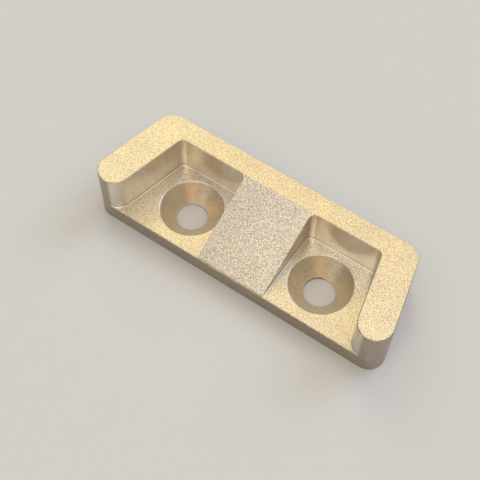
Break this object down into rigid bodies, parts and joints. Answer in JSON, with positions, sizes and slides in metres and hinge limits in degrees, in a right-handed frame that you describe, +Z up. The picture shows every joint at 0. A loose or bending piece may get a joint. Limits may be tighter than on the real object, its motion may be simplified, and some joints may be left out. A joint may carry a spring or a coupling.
{
  "type": "mounting block",
  "caption": "Machined mounting block with two open-front pockets, splayed round-ended arms, a central ramp and countersunk screw holes.",
  "frame": {"origin": "midway between the axes of the screw holes, on the flat underside", "axes": "+X along the row of screw holes, +Y from the open front towards the back wall, +Z up out of the pockets, the way a screw is taken out"},
  "size_m": [0.056, 0.0182, 0.0105],
  "materials": {
    "blasted_aluminium": "fine bead blast with a pale champagne-coloured conversion coat"
  },
  "bodies": {
    "root": {"mounting_block": "blasted_aluminium"}
  },
  "joints": []
}
